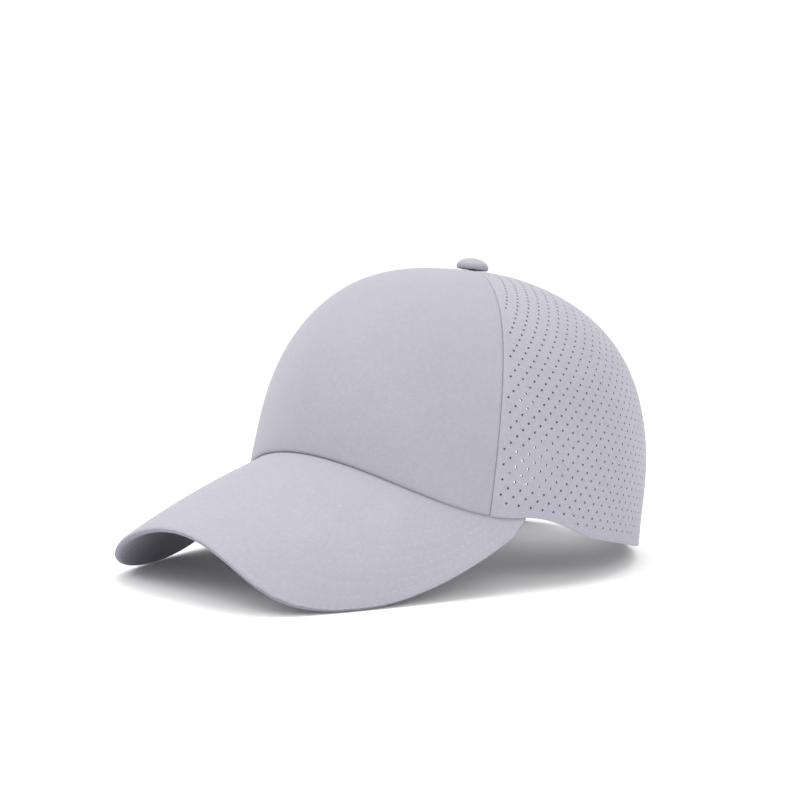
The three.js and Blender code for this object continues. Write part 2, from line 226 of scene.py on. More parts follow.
def lower_climb(turn, depth, gap=clearance):
    seated = crown_on_brim(np.minimum(turn, brim_end_angle), depth, -gap)[2]
    free = climb_at_height(turn, rim_height(turn))
    share = ease(turn, brim_end_angle, brim_end_angle + rim_blend)
    return seated + (free - seated) * share


def opening_place(share):
    last = len(opening_rows) - 1
    index = np.minimum((share * last).astype(int), last - 1)
    part = (share * last - index)[..., None]
    before, start = opening_rows[np.maximum(index - 1, 0)], opening_rows[index]
    end, after = opening_rows[index + 1], opening_rows[np.minimum(index + 2, last)]
    leave, arrive = (end - before) / 2, (after - start) / 2
    bend = 2 * (start - end) + leave + arrive
    swing = 3 * (end - start) - 2 * leave - arrive
    half, climb = np.moveaxis(start + part * (leave + part * (swing + part * bend)), -1, 0)
    return np.maximum(opening_half_width * half, 0.05), math.pi / 2 * climb


opening_shares = np.linspace(0, 1, 600)
opening_halves, opening_climbs = opening_place(opening_shares)


def opening_half_at(climb):
    return np.interp(climb, opening_climbs, opening_halves)


# %% [markdown]
# ## From millimetres round the crown to metres on the floor
# The crown is drawn upright round its own axis. A real cap put down on a table tips until the low
# sides of its brim and its rear rim both touch, so every point is turned and lifted by the same
# amounts that the solids have.

# %% Resting place
mm = 0.001
rest_tilt = math.radians(4.98222)
rest_back = 37.6796
rest_up = 19.458


def at_rest(points):
    x, y, z = np.moveaxis(points, -1, 0)
    back = y * math.cos(rest_tilt) + z * math.sin(rest_tilt) + rest_back
    up = z * math.cos(rest_tilt) - y * math.sin(rest_tilt) + rest_up
    return np.stack([x, back, up], -1) * mm


# %% [markdown]
# ## One cloth sheet with two faces
# A cloth panel could be a grid with a Solidify modifier, but then its edges would be square cuts.
# Here the outer and the inner face are two grids that share their border points, and each face
# curves in near the border, so a hem looks folded and a seam looks rolled. The sheet also keeps a
# map of its own length and width in metres, which the weave follows.

# %% Sheet maker


def even_with_fine_ends(count, length, fine=(0.12, 0.3, 0.55, 0.85, 1.2, 1.7, 2.4)):
    """Shares from 0 to 1 in equal steps, with extra fine steps near both ends of a length."""
    near = np.array(fine) / length
    middle = np.linspace(near[-1] * 1.4, 1 - near[-1] * 1.4, count)
    return np.concatenate([[0], near, middle, (1 - near)[::-1], [1]])


def lengths_along(points, axis):
    steps = np.linalg.norm(np.diff(points, axis=axis), axis=-1)
    start = np.zeros_like(np.take(steps, [0], axis=axis))
    return np.concatenate([start, np.cumsum(steps, axis=axis)], axis=axis)


def curl(distance, width, depth):
    """How deep a face lies where its border curls in over a width."""
    share = np.clip(1 - distance / width, 0, 1)
    return depth * (1 - np.sqrt(1 - share**2))


def furrow(distance, place, depth, width):
    return depth * np.exp(-(((distance - place) / width) ** 2))


def sheet_mesh(name, outer, inner, cloth_map):
    rows, columns = outer.shape[:2]
    bm = bmesh.new()
    layer = bm.loops.layers.uv.new("cloth")
    places = {}
    for points, turned in ((outer, False), (inner, True)):
        known = set(bm.verts)
        bmesh.ops.create_grid(bm, x_segments=columns - 1, y_segments=rows - 1, size=1)
        fresh = [vertex for vertex in bm.verts if vertex not in known]
        for vertex in fresh:
            column = round((vertex.co.x + 1) / 2 * (columns - 1))
            row = round((vertex.co.y + 1) / 2 * (rows - 1))
            places[vertex] = (row, column)
            vertex.co = points[row, column]
        faces = {face for vertex in fresh for face in vertex.link_faces}
        for face in faces:
            for loop in face.loops:
                loop[layer].uv = cloth_map[places[loop.vert]]
        if turned:
            bmesh.ops.reverse_faces(bm, faces=list(faces))
    border = [vertex for vertex in bm.verts if vertex.is_boundary]
    bmesh.ops.remove_doubles(bm, verts=border, dist=2e-6)
    bmesh.ops.dissolve_degenerate(bm, edges=bm.edges[:], dist=1e-7)
    mesh = bpy.data.meshes.new(name)
    bm.to_mesh(mesh)
    bm.free()
    mesh.shade_smooth()
    return mesh


def show(mesh, material, slot, *nodes):
    """Puts a finished mesh on the cap, in place of the named solids."""
    piece = bpy.data.objects.new(mesh.name, mesh)
    bpy.context.scene.collection.objects.link(piece)
    mesh.materials.append(material)
    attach(piece, "root")
    if nodes:
        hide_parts(*nodes)
    mesh.calc_loop_triangles()
    size = [round(v * 1000, 1) for v in piece.dimensions]
    print(f"{mesh.name}: {len(mesh.loop_triangles)} triangles, {size} mm")
    return piece


# %% [markdown]
# ## Materials: woven polyester
# Every part of the cap is polyester, but it is made in different ways. The front panel and the
# brim are a fine smooth weave, matt with a faint sheen at grazing angles. Polyester has an IOR near
# 1.5 and a roughness of about 0.8 once woven. Threads are about 0.3 mm apart, too fine to show
# here, so the weave is drawn at 0.8 mm. A helper adds one node at a time.

# %% Node helpers


def linear(colour):
    """An sRGB hex colour as linear RGBA."""
    parts = [int(colour[place : place + 2], 16) / 255 for place in (1, 3, 5)]
    return (*[p / 12.92 if p <= 0.04045 else ((p + 0.055) / 1.055) ** 2.4 for p in parts], 1)


def add(tree, kind, inputs, **settings):
    """Adds a node. An input is a value, or the socket that feeds it."""
    node = tree.nodes.new(kind)
    for name, value in settings.items():
        setattr(node, name, value)
    for name, value in inputs.items():
        if isinstance(value, bpy.types.NodeSocket):
            tree.links.new(value, node.inputs[name])
        else:
            node.inputs[name].default_value = value
    return node


def new_material(name):
    material = bpy.data.materials.new(name)
    material.use_nodes = True
    material.node_tree.nodes.clear()
    return material


def bands_for(pitch):
    """The Wave Texture scale that repeats once in a pitch given in millimetres."""
    return 2 * math.pi / (20 * pitch * mm)


# %% Woven cloth


def woven_cloth(name, colour, shade, pitch, relief, roughness):
    """Plain weave: warp and weft threads take turns on top, in the squares of a checker."""
    material = new_material(name)
    tree = material.node_tree
    cloth = add(tree, "ShaderNodeUVMap", {}, uv_map="cloth").outputs["UV"]
    scale = bands_for(pitch)
    warp = add(tree, "ShaderNodeTexWave", {"Vector": cloth, "Scale": scale}, bands_direction="X")
    weft = add(tree, "ShaderNodeTexWave", {"Vector": cloth, "Scale": scale}, bands_direction="Y")
    squares = add(tree, "ShaderNodeTexChecker", {"Vector": cloth, "Scale": 1 / (pitch * mm)})
    threads = add(
        tree,
        "ShaderNodeMix",
        {"Factor": squares.outputs["Fac"], 2: warp.outputs["Fac"], 3: weft.outputs["Fac"]},
    )
    # Slubs a few threads wide, and a slow change of tone over the size of a hand
    slubs = add(tree, "ShaderNodeTexNoise", {"Vector": cloth, "Scale": 420.0, "Detail": 2.0})
    cloud = add(tree, "ShaderNodeTexNoise", {"Vector": cloth, "Scale": 26.0, "Detail": 3.0})
    tone = add(
        tree,
        "ShaderNodeMath",
        {0: slubs.outputs["Fac"], 1: cloud.outputs["Fac"]},
        operation="ADD",
    )
    spread = add(
        tree,
        "ShaderNodeMapRange",
        {"Value": tone.outputs["Value"], "From Min": 0.7, "From Max": 1.3},
    )
    yarn = add(
        tree,
        "ShaderNodeMix",
        {"Factor": spread.outputs["Result"], 6: linear(shade), 7: linear(colour)},
        data_type="RGBA",
    )
    # Painted shade: the colour is multiplied down to 0.9 where the threads dip, standing in for the shade
    # between them
    thread_valley_shade = add(
        tree,
        "ShaderNodeMapRange",
        {"Value": threads.outputs["Result"], "To Min": 0.9, "To Max": 1.0},
    )
    body = add(
        tree,
        "ShaderNodeMix",
        {"Factor": 1.0, 6: yarn.outputs[2], 7: thread_valley_shade.outputs["Result"]},
        data_type="RGBA",
        blend_type="MULTIPLY",
    )
    height = add(
        tree,
        "ShaderNodeMath",
        {0: slubs.outputs["Fac"], 1: 0.6, 2: threads.outputs["Result"]},
        operation="MULTIPLY_ADD",
    )
    bump = add(
        tree,
        "ShaderNodeBump",
        {"Strength": relief, "Distance": 0.15 * mm, "Height": height.outputs["Value"]},
    )
    dull = add(
        tree,
        "ShaderNodeMapRange",
        {
            "Value": slubs.outputs["Fac"],
            "To Min": roughness - 0.07,
            "To Max": roughness + 0.07,
        },
    )
    surface = add(
        tree,
        "ShaderNodeBsdfPrincipled",
        {
            "Base Color": body.outputs[2],
            "Roughness": dull.outputs["Result"],
            "IOR": 1.5,
            "Specular IOR Level": 0.35,
            "Sheen Weight": 0.2,
            "Sheen Roughness": 0.45,
            "Normal": bump.outputs["Normal"],
        },
    )
    add(tree, "ShaderNodeOutputMaterial", {"Surface": surface.outputs["BSDF"]})
    return material


front_cloth = woven_cloth("woven_polyester_front", "#a3a1ab", "#9d9ba6", 0.8, 0.35, 0.78)
side_cloth = woven_cloth("perforated_polyester_side", "#a7a5b1", "#a09eaa", 0.8, 0.3, 0.8)
brim_cloth = woven_cloth("woven_polyester_brim", "#a7a5af", "#a19faa", 0.8, 0.35, 0.76)
# Painted shade: the underside is the brim's own cloth, darkened to stand in for the shadow under the brim
underside_painted_shade_cloth = woven_cloth("woven_polyester_brim_underside_painted_shade", "#8b8a96", "#84838f", 0.8, 0.35, 0.85)
button_cloth = woven_cloth("woven_polyester_button", "#a9a7b0", "#a19fa8", 0.6, 0.4, 0.78)
print("cloths:", [m.name for m in bpy.data.materials if "polyester" in m.name])

# %% [markdown]
# Elastic webbing is knitted with rubber cords that run along it. Between the cords the yarn sinks,
# so the band shows fine ribs along its length and a slight zigzag across, and its colour is darker
# there as painted shade. Sewing thread is spun polyester with a little more gloss than the cloth.

# %% Elastic and thread


def ribbed_elastic(name, colour, shade, rib, relief):
    material = new_material(name)
    tree = material.node_tree
    cloth = add(tree, "ShaderNodeUVMap", {}, uv_map="cloth").outputs["UV"]
    ribs = add(
        tree,
        "ShaderNodeTexWave",
        {"Vector": cloth, "Scale": bands_for(rib)},
        bands_direction="Y",
    )
    courses = add(
        tree,
        "ShaderNodeTexWave",
        {"Vector": cloth, "Scale": bands_for(rib * 0.8), "Distortion": 0.6},
        bands_direction="X",
    )
    knit = add(
        tree,
        "ShaderNodeMath",
        {0: courses.outputs["Fac"], 1: 0.35, 2: ribs.outputs["Fac"]},
        operation="MULTIPLY_ADD",
    )
    # Painted shade: the colour goes to the darker shade where the ribs and courses sink
    yarn = add(
        tree,
        "ShaderNodeMix",
        {"Factor": knit.outputs["Value"], 6: linear(shade), 7: linear(colour)},
        data_type="RGBA",
    )
    bump = add(
        tree,
        "ShaderNodeBump",
        {"Strength": relief, "Distance": 0.3 * mm, "Height": knit.outputs["Value"]},
    )
    surface = add(
        tree,
        "ShaderNodeBsdfPrincipled",
        {
            "Base Color": yarn.outputs[2],
            "Roughness": 0.7,
            "IOR": 1.5,
            "Specular IOR Level": 0.4,
            "Sheen Weight": 0.15,
            "Sheen Roughness": 0.4,
            "Normal": bump.outputs["Normal"],
        },
    )
    add(tree, "ShaderNodeOutputMaterial", {"Surface": surface.outputs["BSDF"]})
    return material


def spun_thread(name, colour, shade):
    """The twist of the ply shows as fine changes of tone across the thread."""
    material = new_material(name)
    tree = material.node_tree
    place = add(tree, "ShaderNodeTexCoord", {}).outputs["Object"]
    twist = add(tree, "ShaderNodeTexNoise", {"Vector": place, "Scale": 2600.0, "Detail": 1.0})
    yarn = add(
        tree,
        "ShaderNodeMix",
        {"Factor": twist.outputs["Fac"], 6: linear(shade), 7: linear(colour)},
        data_type="RGBA",
    )
    bump = add(
        tree,
        "ShaderNodeBump",
        {"Strength": 0.3, "Distance": 0.1 * mm, "Height": twist.outputs["Fac"]},
    )
    surface = add(
        tree,
        "ShaderNodeBsdfPrincipled",
        {
            "Base Color": yarn.outputs[2],
            "Roughness": 0.6,
            "IOR": 1.5,
            "Sheen Weight": 0.1,
            "Normal": bump.outputs["Normal"],
        },
    )
    add(tree, "ShaderNodeOutputMaterial", {"Surface": surface.outputs["BSDF"]})
    return material


# The second colour is the painted shade in the sunk parts between the ribs
elastic = ribbed_elastic("knitted_elastic_strap", "#b4b4ba", "#a9a9b0", 1.6, 0.35)
thread = spun_thread("spun_polyester_thread", "#aeacb7", "#a5a3ae")

# %% [markdown]
# ## Stitches
# Each lockstitch on a hem is a short bead of thread that sinks into the cloth at both ends. They
# could be painted on, but small flattened spheres catch the light as real stitches do. Hundreds of
# them are needed, so each has only a few dozen faces.

# %% Stitch maker
stitch_length = 2.7
stitch_pitch = 3.3
thread_width = 0.55
stitch_rows = {}


def stitch_along(name, points, outward):
    """Adds a row of stitches along a path in metres, with its outward directions."""
    bm = stitch_rows.setdefault(name, bmesh.new())
    travelled = lengths_along(points, 0)
    count = int(travelled[-1] / (stitch_pitch * mm))
    for place in (np.arange(count) + 0.5) * travelled[-1] / max(count, 1):
        ends = [place - stitch_length / 2 * mm, place, place + stitch_length / 2 * mm]
        start, middle, end = [
            Vector([np.interp(at, travelled, points[:, axis]) for axis in range(3)]) for at in ends
        ]
        up = Vector([np.interp(place, travelled, outward[:, axis]) for axis in range(3)])
        along = (end - start).normalized()
        side = up.cross(along).normalized()
        up = along.cross(side)
        turn = Matrix((along, side, up)).transposed().to_4x4()
        shape = Matrix.Diagonal((stitch_length / 2 * mm, thread_width / 2 * mm, 0.3 * mm, 1))
        bmesh.ops.create_uvsphere(
            bm,
            u_segments=6,
            v_segments=5,
            radius=1,
            matrix=Matrix.Translation(middle - up * 0.12 * mm) @ turn @ shape,
        )


# %% [markdown]
# ## Front panel
# The front of the cap is one smooth panel from seam to seam. It is a little uneven by hand's
# breadth, as pressed cloth is. The sheet is laid out on the crown's formula, its
# side borders roll in at the seams and its lower border stands on the brim.

# %% Front panel
front_wall = 2
side_wall = 1.2
seam_roll = 1.7
seam_gap = 0.05


def uneven(points, height):
    """Slow swells of the cloth, always inwards, up to a height in millimetres."""
    x, y, z = np.moveaxis(points, -1, 0)
    swell = np.sin(x / 17 + z / 29) * np.sin(y / 23 - z / 19 + 1.3) + 0.5 * np.sin(z / 11 + x / 37)
    return height * (0.5 + swell / 3)


def crown_sheet(turns, climbs, depth_of):
    """A sheet on the crown. depth_of turns the four border distances into two face depths."""
    flat = crown_face(turns, climbs)
    along, up = lengths_along(flat, 1), lengths_along(flat, 0)
    borders = {"start": along, "end": along[:, -1:] - along, "low": up, "high": up[-1:] - up}
    outer, inner = depth_of(borders, flat)
    outward = crown_outward(turns, climbs)
    faces = [at_rest(flat - outward * depth[..., None]) for depth in (outer, inner)]
    middle = turns.shape[1] // 2
    cloth_map = np.stack([along - along[:, middle : middle + 1], up], -1) * mm
    return faces, cloth_map, flat, outward


def front_depths(borders, flat):
    nearest = np.minimum(borders["start"], borders["end"])
    fade = ease(np.minimum(nearest, borders["low"]), 2, 18)
    swell = uneven(flat, 0.45) * fade
    outer = swell + curl(nearest, seam_roll, 0.75) + curl(borders["low"], 1.6, 0.9)
    outer += curl(borders["high"], 0.6, 0.6)
    rim = np.minimum.reduce(list(borders.values()))
    inner = front_wall + swell - curl(rim, 0.9, 1) * (front_wall + swell - outer)
    return outer, np.where(rim < 1e-6, outer, np.maximum(inner, outer + 0.05))


front_columns = 2 * even_with_fine_ends(104, 175) - 1
front_rows = even_with_fine_ends(84, 130)
front_turns = front_columns * seam_angle
front_low = lower_climb(np.abs(front_turns), front_wall / 3, gap=0.35)
front_climbs = front_low + (climb_at_reach(front_turns, post_hole) - front_low) * front_rows[:, None]
seam_out = crown_face(seam_angle, front_climbs)[..., 0] / math.sin(seam_angle)
front_grid = front_turns - front_columns * seam_gap / 2 / np.maximum(seam_out, post_hole)
faces, cloth_map, _, _ = crown_sheet(front_grid, front_climbs, front_depths)
show(sheet_mesh("front_panel_cloth", *faces, cloth_map), front_cloth, "front_cloth", "front_panel")

# %% [markdown]
# ## Side panels
# Each side panel runs from the front seam to the rear opening and meets its twin in a short seam
# behind the button. Its hems carry stitch rows that press a furrow into the cloth. The left panel
# is laid out on the formula and the right one is its mirror image.

# %% Side panel sheet
hem_rows = (2.2, 10.5)
rim_row = 2.6
opening_part = 0.87


def side_layout():
    rows = even_with_fine_ends(96, 165)
    half, climb = opening_place(np.minimum(rows / opening_part, 1))
    above = rows > opening_part
    top = climb_at_reach(np.array(math.pi), post_hole)
    last = climb[rows <= opening_part][-1]
    climb = np.where(above, last + (top - last) * (rows - opening_part) / (1 - opening_part), climb)
    half = np.where(above, seam_gap / 2, np.maximum(half, seam_gap / 2))
    ends = turn_at_side(lambda turn: climb, half)
    shares = even_with_fine_ends(92, 190)
    turns = seam_angle + (ends[:, None] - seam_angle) * shares
    low = lower_climb(turns[0], side_wall / 2, gap=0.3)
    tops = climb_at_reach(turns[-1], post_hole)
    rise = rows[:, None]
    plain = (low[0] + (tops[0] - low[0]) * rise) * (1 - shares) + climb[:, None] * shares
    low_gap = low - (low[0] * (1 - shares) + climb[0] * shares)
    top_gap = tops - (tops[0] * (1 - shares) + climb[-1] * shares)
    climbs = plain + low_gap * (1 - rise) ** 2 + top_gap * rise**2
    out = crown_face(seam_angle, climbs)[..., 0] / math.sin(seam_angle)
    return turns + seam_gap / 2 / np.maximum(out, post_hole) * (1 - shares), climbs


def side_depths(borders, flat):
    fade = ease(np.minimum(borders["start"], borders["low"]), 2, 18)
    fade = fade * ease(borders["end"], 1, 12)
    swell = uneven(flat * (1, 1, 1.2), 0.35) * fade
    outer = swell + curl(borders["start"], seam_roll, 0.7) + curl(borders["end"], 0.6, 0.55)
    outer += curl(borders["low"], 0.9, 0.6) + curl(borders["high"], 0.5, 0.4)
    inside_rim = ease(borders["low"], 3, 6)
    for place in hem_rows:
        outer += furrow(borders["end"], place, 0.16, 0.6) * inside_rim
    outer += furrow(borders["low"], rim_row, 0.16, 0.6)
    outer = np.minimum(outer, 0.75)
    rim = np.minimum.reduce(list(borders.values()))
    inner = side_wall + swell - curl(rim, 0.6, 1) * (side_wall + swell - outer)
    return outer, np.where(rim < 1e-6, outer, np.maximum(inner, outer + 0.05))


side_turns, side_climbs = side_layout()
side_faces, side_map, side_flat, side_outward = crown_sheet(side_turns, side_climbs, side_depths)
print("side panel grid:", side_turns.shape)

# %% [markdown]
# ## Perforations
# The holes are punched in the flat cloth in staggered rows, 6 mm apart in a row and with 3.2 mm
# from row to row. Rows are counted along the middle of the panel and each hole is put out from
# there, so the pattern stays even. The cloth is cut a little off its grain, so each row falls by
# an eighth of its length towards the back. A Boolean with eight-sided punches cuts them all at once. It
# leaves long thin triangles, so afterwards each corner takes its shading direction from the uncut
# sheet, and only the walls of the holes keep their own.

# %% Holes
hole_radius = 0.58
hole_pitch = 6
row_pitch = 3.2
row_fall = 0.12
rows_below = 3.5
seam_margin = 2.4
hem_margin = 13
rim_margin = 3.6


def hole_places():
    opening_turn = turn_at_side(lambda turn: 0 * turn, np.array(float(opening_half_width)))
    middle = float(seam_angle + opening_turn) / 2
    climbs = np.linspace(0, math.pi / 2, 900)
    travelled = lengths_along(crown_face(middle, climbs), 0)
    heights = climb_heights(middle, climbs)
    hem_heights = np.linspace(0, heights[-1], 60)
    hem_turns = [hem_turn(height) for height in hem_heights]
    for row, level in enumerate(np.arange(-rows_below, travelled[-1] / row_pitch) * row_pitch):
        turns = np.linspace(seam_angle, math.pi, 500)
        ring = crown_face(turns, climb_at_height(turns, np.interp(level, travelled, heights)))
        along = lengths_along(ring, 0)
        centre = np.interp(middle, turns, along)
        first = centre + (row % 2) * hole_pitch / 2
        first -= first // hole_pitch * hole_pitch
        for place in np.arange(first, along[-1], hole_pitch):
            turn = np.interp(place, along, turns)
            climbed = level - row_fall * (place - centre)
            height = np.interp(climbed, travelled, heights)
            hem = np.interp(np.interp(height, hem_heights, hem_turns), turns, along)
            inside = seam_margin < place < hem - hem_margin and 0 < climbed < travelled[-1]
            if inside and height > rim_height(turn) + rim_margin + seated_rise(turn):
                yield turn, climb_at_height(turn, height)


def hem_turn(height):
    """The turn of the opening's edge at this height."""
    return float(turn_at_side(lambda turn: climb_at_height(turn, height),
                              opening_half_at(climb_at_height(math.pi, height))))


def climb_heights(turn, climbs):
    """The height that climb_at_height takes for each climb, without the crown's slope."""
    points = crown_face(turn, climbs)
    out, height = np.abs(points[:, 0] / math.sin(turn)), points[:, 2]
    return height - crown_slope * out * math.cos(turn) * (height / crown_height) ** slope_power


def seated_rise(turn):
    """How far the panel's lower border stands above the free rim where it sits on the brim."""
    edge = np.interp(turn, side_turns[0], side_flat[0][:, 2])
    return max(edge - rim_height(turn), 0)


hole_list = list(hole_places())
print("holes in each side panel:", len(hole_list))

# %% Punching


def punches(name, mirror):
    bm = bmesh.new()
    turns, climbs = np.array(hole_list).T
    middles = at_rest(crown_point(turns, climbs, side_wall / 2) * (mirror, 1, 1))
    outer = at_rest(crown_point(turns, climbs, 0) * (mirror, 1, 1))
    for middle, face in zip(middles, outer):
        turn = Vector(face - middle).to_track_quat("Z", "Y").to_matrix().to_4x4()
        bmesh.ops.create_cone(
            bm,
            cap_ends=True,
            segments=8,
            radius1=hole_radius * mm,
            radius2=hole_radius * mm,
            depth=3.4 * side_wall * mm,
            matrix=Matrix.Translation(Vector(middle)) @ turn,
        )
    mesh = bpy.data.meshes.new(name)
    bm.to_mesh(mesh)
    bm.free()
    return mesh


def cut(mesh, tools):
    """The mesh with the tools' volume taken out."""
    cloth = bpy.data.objects.new("cloth", mesh)
    tool = bpy.data.objects.new("tool", tools)
    for made in (cloth, tool):
        bpy.context.scene.collection.objects.link(made)
    boolean = cloth.modifiers.new("punch", "BOOLEAN")
    boolean.operation, boolean.solver, boolean.object = "DIFFERENCE", "MANIFOLD", tool
    depsgraph = bpy.context.evaluated_depsgraph_get()
    done = bpy.data.meshes.new_from_object(cloth.evaluated_get(depsgraph))
    for made in (cloth, tool):
        bpy.data.objects.remove(made)
    return done


def shade_like(mesh, whole):
    """Gives a cut mesh the smooth shading of the whole sheet, and leaves its hole walls flat."""
    corners = [vertex.co.copy() for vertex in whole.vertices]
    normals = [vertex.normal.copy() for vertex in whole.vertices]
    polygons = [tuple(polygon.vertices) for polygon in whole.polygons]
    tree = BVHTree.FromPolygons(corners, polygons)
    smooth = np.zeros((len(mesh.vertices), 3))
    for vertex in mesh.vertices:
        place, _, index, _ = tree.find_nearest(vertex.co)
        around = polygons[index]
        weights = poly_3d_calc([corners[corner] for corner in around], place)
        normal = sum((normals[c] * w for c, w in zip(around, weights)), Vector())
        smooth[vertex.index] = normal.normalized()
    owners = np.zeros(len(mesh.loops), int)
    mesh.loops.foreach_get("vertex_index", owners)
    facing = np.zeros(len(mesh.polygons) * 3)
    mesh.polygons.foreach_get("normal", facing)
    totals = np.array([polygon.loop_total for polygon in mesh.polygons])
    facing = np.repeat(facing.reshape(-1, 3), totals, axis=0)
    chosen = smooth[owners]
    wall = (chosen * facing).sum(1) < 0.5
    chosen[wall] = facing[wall]
    mesh.normals_split_custom_set(chosen.tolist())


# %% Both side panels


def side_panel(side, mirror):
    outer, inner = [points * (mirror, 1, 1) for points in side_faces]
    pattern = side_map
    if mirror < 0:
        outer, inner, pattern = outer[:, ::-1], inner[:, ::-1], side_map[:, ::-1]
    whole = sheet_mesh("whole_" + side, outer, inner, pattern)
    cloth = cut(whole, punches("punches_" + side, mirror))
    cloth.name = f"side_panel_{side}_cloth"
    cloth.shade_smooth()
    shade_like(cloth, whole)
    cloth.materials.clear()
    show(cloth, side_cloth, "perforated_cloth", f"side_panel_{side}")
    bpy.data.meshes.remove(whole)


side_panel("left", 1)
side_panel("right", -1)

# %% [markdown]
# ## Hem stitches
# Two rows run beside the rear opening and one runs along the rim. They follow lines of equal
# distance from the border, which are read off the sheet's own layout.

# %% Hem stitches


def line_at(distances, place, values, axis):
    """The values where the distance from a border reaches a place, row by row or column by column."""
    lines = values if axis == 1 else values.swapaxes(0, 1)
    spans = distances if axis == 1 else distances.swapaxes(0, 1)
    found = []
    for span, line in zip(spans, lines):
        order = np.argsort(span)
        if span[order][-1] > place + 2:
            found.append([np.interp(place, span[order], line[order, k]) for k in range(3)])
    return np.array(found)


def turned_at_rest(directions):
    return (at_rest(directions) - at_rest(np.zeros(3))) / mm


side_along, side_up = lengths_along(side_flat, 1), lengths_along(side_flat, 0)
from_end = side_along[:, -1:] - side_along
opening_only = slice(4, int(len(side_flat) * 0.84))
for mirror in (1, -1):
    for place in hem_rows:
        rows = opening_only
        path = line_at(from_end[rows], place, side_flat[rows], 1)
        up = line_at(from_end[rows], place, side_outward[rows], 1)
        points = at_rest((path - up * 0.16) * (mirror, 1, 1))
        stitch_along("hem_stitches", points, turned_at_rest(up * (mirror, 1, 1)))
    columns = slice(2, -3)
    path = line_at(side_up[:, columns], rim_row, side_flat[:, columns], 0)
    up = line_at(side_up[:, columns], rim_row, side_outward[:, columns], 0)
    points = at_rest((path - up * 0.16) * (mirror, 1, 1))
    stitch_along("hem_stitches", points, turned_at_rest(up * (mirror, 1, 1)))

# %% [markdown]
# ## Brim
# The brim is a stiff board covered in cloth on both sides. Its outer edge is rounded by the cloth
# that wraps it, with a row of stitches close to the edge and faint rows further in that follow
# the outline. The underside is the same cloth, drawn darker as painted shade for the shadow it lies in.

# %% Brim sheet and stitch rows
brim_tuck = 2.8
edge_row = 2.0
inner_rows = (9, 17, 25, 33, 41, 49, 57)
half_columns = np.sin(np.linspace(0, math.pi / 2, 86)) ** 0.9
brim_shares = np.concatenate([-half_columns[:0:-1], half_columns])


def brim_outer_edge(share):
    along = np.abs(share) / (1 - brim_tail_share)
    turn = np.minimum(along, 1) * math.pi / 2
    power = 2 / brim_outline
    tail = np.maximum(along - 1, 0) * (1 / brim_tail_share - 1)
    side = brim_half_arc * np.sin(turn) ** power - brim_tail_inward * tail
    ahead = (brim_length + brim_corner_back) * np.maximum(np.cos(turn), 0) ** power
    return np.sign(share) * side, ahead - brim_corner_back - brim_tail * tail


def brim_layout():
    wall = brim_thickness + (brim_corner_thickness - brim_thickness) * ease(
        np.abs(brim_shares), 0.6, 1
    )
    start = crown_on_brim(brim_shares * brim_end_angle, brim_tuck, wall / 2)[:2]
    end = brim_outer_edge(brim_shares)
    rows = even_with_fine_ends(84, 70)[:, None]
    across, ahead = [a + (b - a) * rows for a, b in zip(start, end)]
    return across, ahead, wall


def brim_depths(flat, wall):
    up = lengths_along(flat, 0)
    from_edge = up[-1:] - up
    along = lengths_along(flat, 1)
    from_side = np.minimum(along, along[:, -1:] - along)
    # the covered board is thickest inside and its edge is half round
    near = np.minimum(from_edge, from_side * 1.5)
    outer = curl(near, wall * 0.55, wall / 2) + curl(up, 0.8, wall / 2)
    outer = np.minimum(outer, wall / 2)
    outer = outer + furrow(from_edge, edge_row, 0.14, 0.55) * (near > 0.6)
    for place in inner_rows:
        outer = outer + furrow(from_edge, place, 0.12, 0.8) * ease(up, 3, 8)
    border = np.minimum(np.minimum(from_edge, up), from_side) < 1e-6
    inner = wall - curl(near, wall * 0.55, wall / 2) - curl(up, 0.8, wall / 2)
    inner = np.maximum(inner, wall / 2)
    inner = np.where(border, wall / 2, np.maximum(inner, outer + 0.04))
    return np.where(border, wall / 2, outer), inner, from_edge, up


brim_across, brim_ahead, brim_wall = brim_layout()
brim_flat, brim_up = brim_point(brim_across, brim_ahead, np.zeros(brim_across.shape))
outer_depth, inner_depth, from_edge, from_crown = brim_depths(brim_flat, brim_wall)
brim_faces = [at_rest(brim_flat - brim_up * depth[..., None]) for depth in (outer_depth, inner_depth)]
brim_mesh = sheet_mesh(
    "brim_cloth", *brim_faces, np.stack([brim_across, brim_ahead], -1) * mm
)
print("brim wall:", brim_wall.min(), "to", brim_wall.max(), "mm")

# %% Brim finish


def turn_outward(mesh):
    bm = bmesh.new()
    bm.from_mesh(mesh)
    bmesh.ops.recalc_face_normals(bm, faces=bm.faces[:])
    bm.to_mesh(mesh)
    bm.free()


turn_outward(brim_mesh)
show(brim_mesh, brim_cloth, "brim_cloth", "brim")
# Faces turned downwards get the underside cloth, whose darker colour is painted shade
brim_mesh.materials.append(underside_painted_shade_cloth)
for polygon in brim_mesh.polygons:
    polygon.material_index = 1 if polygon.normal.z < -0.12 else 0

for place in (edge_row, *inner_rows):
    path = line_at(from_edge, place, brim_flat, 0)
    up = line_at(from_edge, place, brim_up, 0)
    reach = line_at(from_edge, place, np.repeat(from_crown[..., None], 3, -1), 0)[:, 0]
    kept = reach > (0.5 if place == edge_row else 5)
    sunk = 0.14 if place == edge_row else 0.17
    points = at_rest(path[kept] - up[kept] * sunk)
    stitch_along("brim_stitches", points, turned_at_rest(up[kept]))

# %% [markdown]
# ## Top button
# The button is a domed metal blank with cloth pulled over it and tucked in below, which leaves
# small radial puckers round its foot. A profile is spun round the axis, and the puckers are pressed
# in where the cloth turns under. Its post and back plate hold the panels together.

# %% Top button
button_radius = 7.4
button_height = 5.4
button_lip = 1.4
post_radius = 1.6
plate_radius = 4.5
plate_thickness = 0.8
puckers = 22


